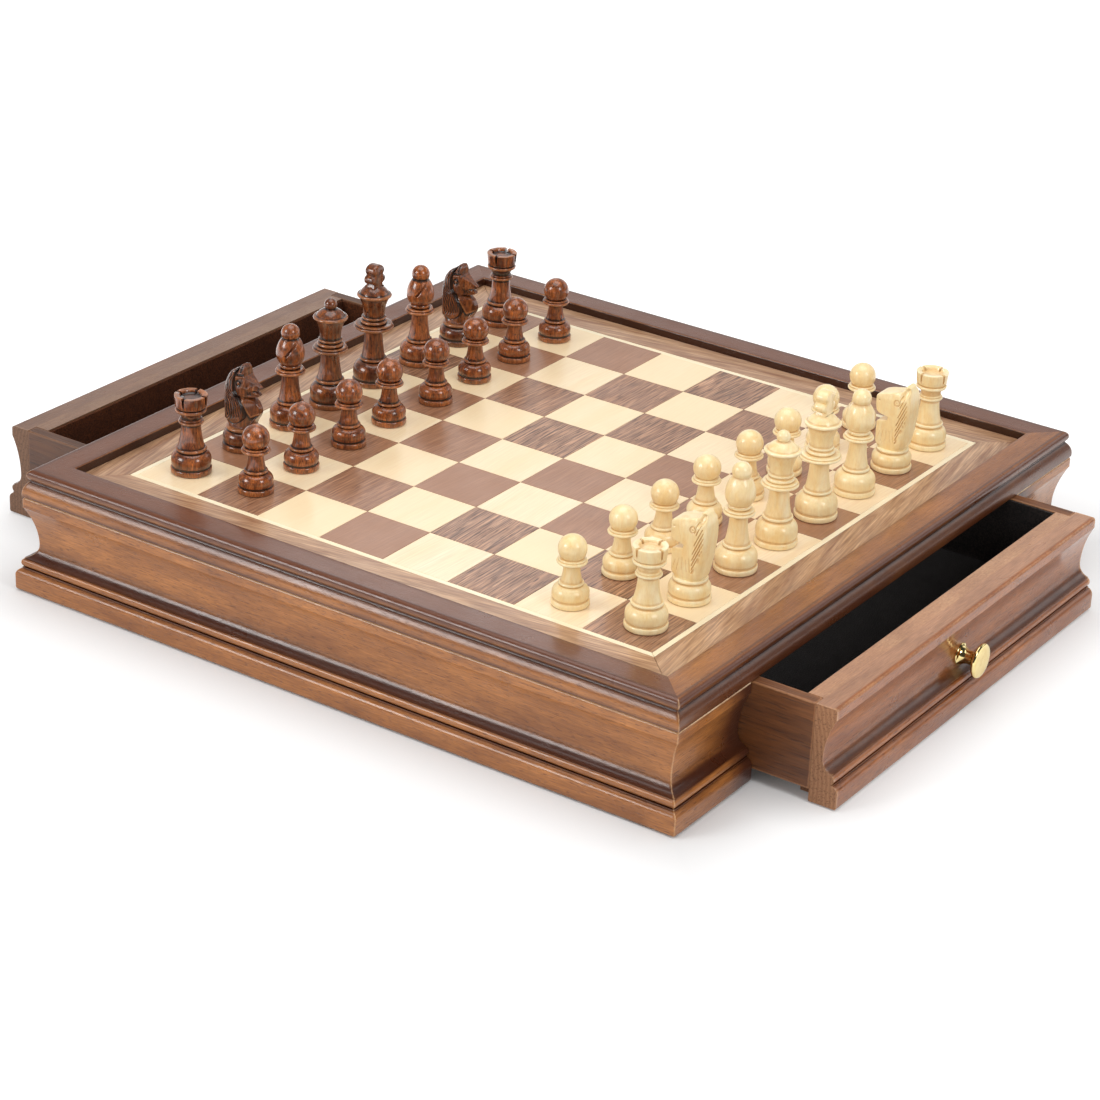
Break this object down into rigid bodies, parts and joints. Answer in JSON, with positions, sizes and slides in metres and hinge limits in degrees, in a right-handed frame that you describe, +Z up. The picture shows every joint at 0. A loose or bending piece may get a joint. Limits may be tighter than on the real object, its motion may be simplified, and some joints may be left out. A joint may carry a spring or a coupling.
{
  "type": "chess box with drawers",
  "caption": "Square moulded wooden box with an inlaid chess board on top, a felt-lined drawer with a brass knob sliding out at each end, and turned chessmen set up on the board.",
  "frame": {"origin": "centre of the box's flat underside", "axes": "+X the way the right-hand drawer slides out, from the dark men towards the light men; +Z up, out of the board; +Y across the board to the far moulded side"},
  "size_m": [0.4944, 0.3814, 0.1239],
  "materials": {
    "moulding_wood": "satin walnut stain, worn",
    "inner_wood": "bare",
    "drawer_wood": "satin",
    "light_veneer": "satin lacquer",
    "dark_veneer": "satin lacquer",
    "inlay_veneer": "satin lacquer",
    "border_veneer": "satin lacquer",
    "felt": "matt felt",
    "knob_brass": "polished",
    "screw_steel": "plain",
    "dark_man_wood": "gloss",
    "light_man_wood": "satin"
  },
  "bodies": {
    "box": {"near_side_moulding": "moulding_wood", "far_side_moulding": "moulding_wood", "right_top_rail": "moulding_wood", "left_top_rail": "moulding_wood", "corner_blocks": "moulding_wood", "bottom_panel": "inner_wood", "drawer_guides": "inner_wood", "centre_partition": "inner_wood", "board_core": "inner_wood", "light_squares": "light_veneer", "dark_squares": "dark_veneer", "inlay_lines": "inlay_veneer", "border_veneers": "border_veneer"},
    "right_drawer": {"right_drawer_front": "moulding_wood", "right_drawer_sides": "drawer_wood", "right_drawer_back": "drawer_wood", "right_drawer_bottom": "drawer_wood", "right_drawer_lining": "felt", "right_knob": "knob_brass", "right_knob_screw": "screw_steel"},
    "left_drawer": {"left_drawer_front": "moulding_wood", "left_drawer_sides": "drawer_wood", "left_drawer_back": "drawer_wood", "left_drawer_bottom": "drawer_wood", "left_drawer_lining": "felt", "left_knob": "knob_brass", "left_knob_screw": "screw_steel"},
    "dark_rook_1": {"dark_rook_1": "dark_man_wood"},
    "dark_knight_1": {"dark_knight_1": "dark_man_wood"},
    "dark_bishop_1": {"dark_bishop_1": "dark_man_wood"},
    "dark_queen": {"dark_queen": "dark_man_wood"},
    "dark_king": {"dark_king": "dark_man_wood"},
    "dark_bishop_2": {"dark_bishop_2": "dark_man_wood"},
    "dark_knight_2": {"dark_knight_2": "dark_man_wood"},
    "dark_rook_2": {"dark_rook_2": "dark_man_wood"},
    "dark_pawn_1": {"dark_pawn_1": "dark_man_wood"},
    "dark_pawn_2": {"dark_pawn_2": "dark_man_wood"},
    "dark_pawn_3": {"dark_pawn_3": "dark_man_wood"},
    "dark_pawn_4": {"dark_pawn_4": "dark_man_wood"},
    "dark_pawn_5": {"dark_pawn_5": "dark_man_wood"},
    "dark_pawn_6": {"dark_pawn_6": "dark_man_wood"},
    "dark_pawn_7": {"dark_pawn_7": "dark_man_wood"},
    "dark_pawn_8": {"dark_pawn_8": "dark_man_wood"},
    "light_rook_1": {"light_rook_1": "light_man_wood"},
    "light_knight_1": {"light_knight_1": "light_man_wood"},
    "light_bishop_1": {"light_bishop_1": "light_man_wood"},
    "light_queen": {"light_queen": "light_man_wood"},
    "light_king": {"light_king": "light_man_wood"},
    "light_bishop_2": {"light_bishop_2": "light_man_wood"},
    "light_knight_2": {"light_knight_2": "light_man_wood"},
    "light_rook_2": {"light_rook_2": "light_man_wood"},
    "light_pawn_1": {"light_pawn_1": "light_man_wood"},
    "light_pawn_2": {"light_pawn_2": "light_man_wood"},
    "light_pawn_3": {"light_pawn_3": "light_man_wood"},
    "light_pawn_4": {"light_pawn_4": "light_man_wood"},
    "light_pawn_5": {"light_pawn_5": "light_man_wood"},
    "light_pawn_6": {"light_pawn_6": "light_man_wood"},
    "light_pawn_7": {"light_pawn_7": "light_man_wood"},
    "light_pawn_8": {"light_pawn_8": "light_man_wood"}
  },
  "joints": [
    {"name": "right_drawer_slide", "type": "slide", "parent": "box", "child": "right_drawer", "axis": [1, 0, 0], "range_m": [-0.043, 0.095]},
    {"name": "left_drawer_slide", "type": "slide", "parent": "box", "child": "left_drawer", "axis": [-1, 0, 0], "range_m": [-0.063, 0.075]},
    {"name": "dark_rook_1_lift", "type": "slide", "parent": "box", "child": "dark_rook_1", "axis": [0, 0, 1], "range_m": [0, 0.08]},
    {"name": "dark_knight_1_lift", "type": "slide", "parent": "box", "child": "dark_knight_1", "axis": [0, 0, 1], "range_m": [0, 0.08]},
    {"name": "dark_bishop_1_lift", "type": "slide", "parent": "box", "child": "dark_bishop_1", "axis": [0, 0, 1], "range_m": [0, 0.08]},
    {"name": "dark_queen_lift", "type": "slide", "parent": "box", "child": "dark_queen", "axis": [0, 0, 1], "range_m": [0, 0.08]},
    {"name": "dark_king_lift", "type": "slide", "parent": "box", "child": "dark_king", "axis": [0, 0, 1], "range_m": [0, 0.08]},
    {"name": "dark_bishop_2_lift", "type": "slide", "parent": "box", "child": "dark_bishop_2", "axis": [0, 0, 1], "range_m": [0, 0.08]},
    {"name": "dark_knight_2_lift", "type": "slide", "parent": "box", "child": "dark_knight_2", "axis": [0, 0, 1], "range_m": [0, 0.08]},
    {"name": "dark_rook_2_lift", "type": "slide", "parent": "box", "child": "dark_rook_2", "axis": [0, 0, 1], "range_m": [0, 0.08]},
    {"name": "dark_pawn_1_lift", "type": "slide", "parent": "box", "child": "dark_pawn_1", "axis": [0, 0, 1], "range_m": [0, 0.08]},
    {"name": "dark_pawn_2_lift", "type": "slide", "parent": "box", "child": "dark_pawn_2", "axis": [0, 0, 1], "range_m": [0, 0.08]},
    {"name": "dark_pawn_3_lift", "type": "slide", "parent": "box", "child": "dark_pawn_3", "axis": [0, 0, 1], "range_m": [0, 0.08]},
    {"name": "dark_pawn_4_lift", "type": "slide", "parent": "box", "child": "dark_pawn_4", "axis": [0, 0, 1], "range_m": [0, 0.08]},
    {"name": "dark_pawn_5_lift", "type": "slide", "parent": "box", "child": "dark_pawn_5", "axis": [0, 0, 1], "range_m": [0, 0.08]},
    {"name": "dark_pawn_6_lift", "type": "slide", "parent": "box", "child": "dark_pawn_6", "axis": [0, 0, 1], "range_m": [0, 0.08]},
    {"name": "dark_pawn_7_lift", "type": "slide", "parent": "box", "child": "dark_pawn_7", "axis": [0, 0, 1], "range_m": [0, 0.08]},
    {"name": "dark_pawn_8_lift", "type": "slide", "parent": "box", "child": "dark_pawn_8", "axis": [0, 0, 1], "range_m": [0, 0.08]},
    {"name": "light_rook_1_lift", "type": "slide", "parent": "box", "child": "light_rook_1", "axis": [0, 0, 1], "range_m": [0, 0.08]},
    {"name": "light_knight_1_lift", "type": "slide", "parent": "box", "child": "light_knight_1", "axis": [0, 0, 1], "range_m": [0, 0.08]},
    {"name": "light_bishop_1_lift", "type": "slide", "parent": "box", "child": "light_bishop_1", "axis": [0, 0, 1], "range_m": [0, 0.08]},
    {"name": "light_queen_lift", "type": "slide", "parent": "box", "child": "light_queen", "axis": [0, 0, 1], "range_m": [0, 0.08]},
    {"name": "light_king_lift", "type": "slide", "parent": "box", "child": "light_king", "axis": [0, 0, 1], "range_m": [0, 0.08]},
    {"name": "light_bishop_2_lift", "type": "slide", "parent": "box", "child": "light_bishop_2", "axis": [0, 0, 1], "range_m": [0, 0.08]},
    {"name": "light_knight_2_lift", "type": "slide", "parent": "box", "child": "light_knight_2", "axis": [0, 0, 1], "range_m": [0, 0.08]},
    {"name": "light_rook_2_lift", "type": "slide", "parent": "box", "child": "light_rook_2", "axis": [0, 0, 1], "range_m": [0, 0.08]},
    {"name": "light_pawn_1_lift", "type": "slide", "parent": "box", "child": "light_pawn_1", "axis": [0, 0, 1], "range_m": [0, 0.08]},
    {"name": "light_pawn_2_lift", "type": "slide", "parent": "box", "child": "light_pawn_2", "axis": [0, 0, 1], "range_m": [0, 0.08]},
    {"name": "light_pawn_3_lift", "type": "slide", "parent": "box", "child": "light_pawn_3", "axis": [0, 0, 1], "range_m": [0, 0.08]},
    {"name": "light_pawn_4_lift", "type": "slide", "parent": "box", "child": "light_pawn_4", "axis": [0, 0, 1], "range_m": [0, 0.08]},
    {"name": "light_pawn_5_lift", "type": "slide", "parent": "box", "child": "light_pawn_5", "axis": [0, 0, 1], "range_m": [0, 0.08]},
    {"name": "light_pawn_6_lift", "type": "slide", "parent": "box", "child": "light_pawn_6", "axis": [0, 0, 1], "range_m": [0, 0.08]},
    {"name": "light_pawn_7_lift", "type": "slide", "parent": "box", "child": "light_pawn_7", "axis": [0, 0, 1], "range_m": [0, 0.08]},
    {"name": "light_pawn_8_lift", "type": "slide", "parent": "box", "child": "light_pawn_8", "axis": [0, 0, 1], "range_m": [0, 0.08]}
  ]
}
